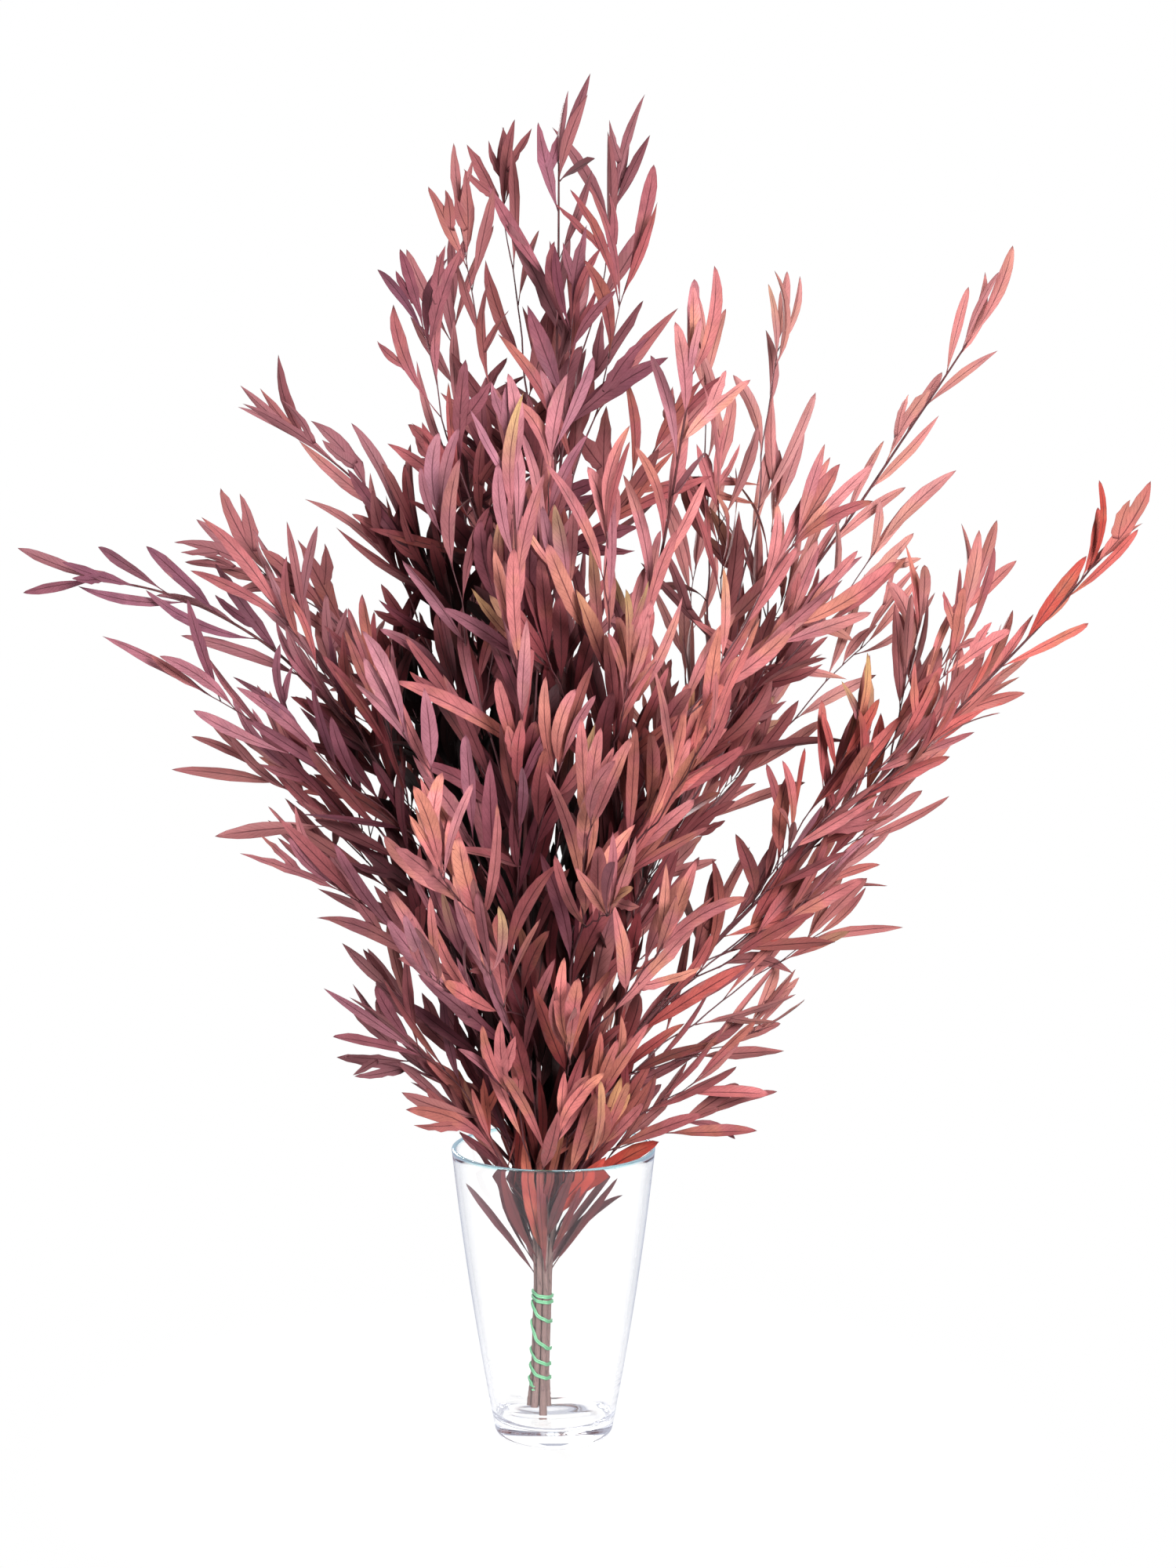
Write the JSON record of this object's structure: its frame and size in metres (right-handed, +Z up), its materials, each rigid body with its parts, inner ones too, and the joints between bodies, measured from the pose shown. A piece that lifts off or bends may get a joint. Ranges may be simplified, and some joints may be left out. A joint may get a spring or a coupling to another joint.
{
  "type": "preserved eucalyptus bunch in glass vase",
  "caption": "Tied bunch of red-dyed, preserved willow-leaved eucalyptus stems standing in a clear conical glass vase.",
  "frame": {"origin": "centre of the vase's flat underside", "axes": "+Z up along the vase, +X to the bunch's right-hand side seen from its front, -Y towards the front"},
  "size_m": [0.6894, 0.5065, 0.8427],
  "materials": {
    "glass": "clear polished glass",
    "cord": "light green twisted twine",
    "bark": "dyed bark, matt, with lengthwise grain",
    "leaf": "dusty red preserved leaf, soft satin"
  },
  "bodies": {
    "root": {"vase": "glass", "tie_cord": "cord", "stem_centre": "bark", "stem_right": "bark", "stem_back_right": "bark", "stem_back_left": "bark", "stem_left": "bark", "stem_front_left": "bark", "stem_front_right": "bark", "shoot_centre_1": "leaf", "shoot_centre_2": "leaf", "shoot_centre_3": "leaf", "shoot_centre_4": "leaf", "shoot_centre_5": "leaf", "shoot_right_1": "leaf", "shoot_right_2": "leaf", "shoot_right_3": "leaf", "shoot_right_4": "leaf", "shoot_right_5": "leaf", "shoot_right_6": "leaf", "shoot_right_7": "leaf", "shoot_back_right_1": "leaf", "shoot_back_right_2": "leaf", "shoot_back_right_3": "leaf", "shoot_back_right_4": "leaf", "shoot_back_right_5": "leaf", "shoot_back_right_6": "leaf", "shoot_back_right_7": "leaf", "shoot_back_right_8": "leaf", "shoot_back_left_1": "leaf", "shoot_back_left_2": "leaf", "shoot_back_left_3": "leaf", "shoot_back_left_4": "leaf", "shoot_back_left_5": "leaf", "shoot_back_left_6": "leaf", "shoot_back_left_7": "leaf", "shoot_left_1": "leaf", "shoot_left_2": "leaf", "shoot_left_3": "leaf", "shoot_left_4": "leaf", "shoot_left_5": "leaf", "shoot_left_6": "leaf", "shoot_left_7": "leaf", "shoot_front_left_1": "leaf", "shoot_front_left_2": "leaf", "shoot_front_left_3": "leaf", "shoot_front_left_4": "leaf", "shoot_front_left_5": "leaf", "shoot_front_left_6": "leaf", "shoot_front_right_1": "leaf", "shoot_front_right_2": "leaf", "shoot_front_right_3": "leaf", "shoot_front_right_4": "leaf", "shoot_front_right_5": "leaf", "shoot_front_right_6": "leaf"}
  },
  "joints": []
}
